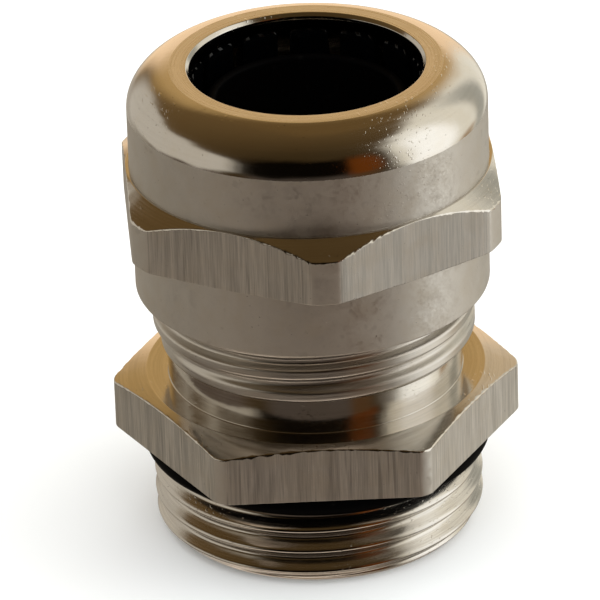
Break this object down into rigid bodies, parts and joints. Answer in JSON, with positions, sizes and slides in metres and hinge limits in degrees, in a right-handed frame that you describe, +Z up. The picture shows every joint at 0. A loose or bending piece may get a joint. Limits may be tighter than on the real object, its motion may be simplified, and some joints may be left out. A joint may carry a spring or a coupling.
{
  "type": "cable gland",
  "caption": "Nickel-plated brass cable gland: hexagonal threaded body, domed clamping nut, plastic finger cage with rubber seal, and an O-ring under the body hexagon.",
  "frame": {"origin": "middle of the connection thread's end face, at the bottom of the gland", "axes": "+Z up along the gland's axis towards the cable opening, -Y out through one flat of the body's hexagon"},
  "size_m": [0.025, 0.025, 0.0305],
  "materials": {
    "nickel_plate": "bright nickel plate over turned and drawn brass, warm grey reflections, fine tool marks",
    "cage_plastic": "black moulded polyamide, satin",
    "rubber": "black nitrile rubber, satin"
  },
  "bodies": {
    "gland_body": {"gland_body": "nickel_plate", "o_ring": "rubber"},
    "clamping_insert": {"cage_ring": "cage_plastic", "seal": "rubber"},
    "dome_nut": {"dome_nut": "nickel_plate"},
    "cage_finger_01": {"cage_finger_01": "cage_plastic"},
    "cage_finger_02": {"cage_finger_02": "cage_plastic"},
    "cage_finger_03": {"cage_finger_03": "cage_plastic"},
    "cage_finger_04": {"cage_finger_04": "cage_plastic"},
    "cage_finger_05": {"cage_finger_05": "cage_plastic"},
    "cage_finger_06": {"cage_finger_06": "cage_plastic"},
    "cage_finger_07": {"cage_finger_07": "cage_plastic"},
    "cage_finger_08": {"cage_finger_08": "cage_plastic"},
    "cage_finger_09": {"cage_finger_09": "cage_plastic"},
    "cage_finger_10": {"cage_finger_10": "cage_plastic"},
    "cage_finger_11": {"cage_finger_11": "cage_plastic"},
    "cage_finger_12": {"cage_finger_12": "cage_plastic"},
    "cage_finger_13": {"cage_finger_13": "cage_plastic"},
    "cage_finger_14": {"cage_finger_14": "cage_plastic"}
  },
  "joints": [
    {"name": "nut_travel", "type": "slide", "parent": "gland_body", "child": "clamping_insert", "axis": [0, 0, -1], "range_m": [0, 0.00375]},
    {"name": "nut_spin", "type": "hinge", "parent": "clamping_insert", "child": "dome_nut", "pos_m": [0, 0, 0.0184], "axis": [0, 0, -1], "range_deg": [0, 900]},
    {"name": "finger_01_lean", "type": "hinge", "parent": "clamping_insert", "child": "cage_finger_01", "pos_m": [-0.003, 0.00725, 0.0231], "axis": [0.9239, 0.3827, 0], "range_deg": [0, 8.02]},
    {"name": "finger_02_lean", "type": "hinge", "parent": "clamping_insert", "child": "cage_finger_02", "pos_m": [-0.00585, 0.00523, 0.0231], "axis": [0.6663, 0.7456, 0], "range_deg": [0, 8.02]},
    {"name": "finger_03_lean", "type": "hinge", "parent": "clamping_insert", "child": "cage_finger_03", "pos_m": [-0.00754, 0.00217, 0.0231], "axis": [0.2768, 0.9609, 0], "range_deg": [0, 8.02]},
    {"name": "finger_04_lean", "type": "hinge", "parent": "clamping_insert", "child": "cage_finger_04", "pos_m": [-0.00774, -0.00131, 0.0231], "axis": [-0.1675, 0.9859, 0], "range_deg": [0, 8.02]},
    {"name": "finger_05_lean", "type": "hinge", "parent": "clamping_insert", "child": "cage_finger_05", "pos_m": [-0.0064, -0.00454, 0.0231], "axis": [-0.5787, 0.8156, 0], "range_deg": [0, 8.02]},
    {"name": "finger_06_lean", "type": "hinge", "parent": "clamping_insert", "child": "cage_finger_06", "pos_m": [-0.0038, -0.00687, 0.0231], "axis": [-0.8752, 0.4837, 0], "range_deg": [0, 8.02]},
    {"name": "finger_07_lean", "type": "hinge", "parent": "clamping_insert", "child": "cage_finger_07", "pos_m": [-0.00044, -0.00784, 0.0231], "axis": [-0.9984, 0.0561, 0], "range_deg": [0, 8.02]},
    {"name": "finger_08_lean", "type": "hinge", "parent": "clamping_insert", "child": "cage_finger_08", "pos_m": [0.003, -0.00725, 0.0231], "axis": [-0.9239, -0.3827, 0], "range_deg": [0, 8.02]},
    {"name": "finger_09_lean", "type": "hinge", "parent": "clamping_insert", "child": "cage_finger_09", "pos_m": [0.00585, -0.00523, 0.0231], "axis": [-0.6663, -0.7456, 0], "range_deg": [0, 8.02]},
    {"name": "finger_10_lean", "type": "hinge", "parent": "clamping_insert", "child": "cage_finger_10", "pos_m": [0.00754, -0.00217, 0.0231], "axis": [-0.2768, -0.9609, 0], "range_deg": [0, 8.02]},
    {"name": "finger_11_lean", "type": "hinge", "parent": "clamping_insert", "child": "cage_finger_11", "pos_m": [0.00774, 0.00131, 0.0231], "axis": [0.1675, -0.9859, 0], "range_deg": [0, 8.02]},
    {"name": "finger_12_lean", "type": "hinge", "parent": "clamping_insert", "child": "cage_finger_12", "pos_m": [0.0064, 0.00454, 0.0231], "axis": [0.5787, -0.8156, 0], "range_deg": [0, 8.02]},
    {"name": "finger_13_lean", "type": "hinge", "parent": "clamping_insert", "child": "cage_finger_13", "pos_m": [0.0038, 0.00687, 0.0231], "axis": [0.8752, -0.4837, 0], "range_deg": [0, 8.02]},
    {"name": "finger_14_lean", "type": "hinge", "parent": "clamping_insert", "child": "cage_finger_14", "pos_m": [0.00044, 0.00784, 0.0231], "axis": [0.9984, -0.0561, 0], "range_deg": [0, 8.02]}
  ],
  "couplings": [
    {"joint": "nut_travel", "follows": "nut_spin", "m_per_rad": 0.00023873},
    {"joint": "finger_01_lean", "follows": "nut_spin", "ratio": 0.0088889},
    {"joint": "finger_02_lean", "follows": "nut_spin", "ratio": 0.0088889},
    {"joint": "finger_03_lean", "follows": "nut_spin", "ratio": 0.0088889},
    {"joint": "finger_04_lean", "follows": "nut_spin", "ratio": 0.0088889},
    {"joint": "finger_05_lean", "follows": "nut_spin", "ratio": 0.0088889},
    {"joint": "finger_06_lean", "follows": "nut_spin", "ratio": 0.0088889},
    {"joint": "finger_07_lean", "follows": "nut_spin", "ratio": 0.0088889},
    {"joint": "finger_08_lean", "follows": "nut_spin", "ratio": 0.0088889},
    {"joint": "finger_09_lean", "follows": "nut_spin", "ratio": 0.0088889},
    {"joint": "finger_10_lean", "follows": "nut_spin", "ratio": 0.0088889},
    {"joint": "finger_11_lean", "follows": "nut_spin", "ratio": 0.0088889},
    {"joint": "finger_12_lean", "follows": "nut_spin", "ratio": 0.0088889},
    {"joint": "finger_13_lean", "follows": "nut_spin", "ratio": 0.0088889},
    {"joint": "finger_14_lean", "follows": "nut_spin", "ratio": 0.0088889}
  ]
}
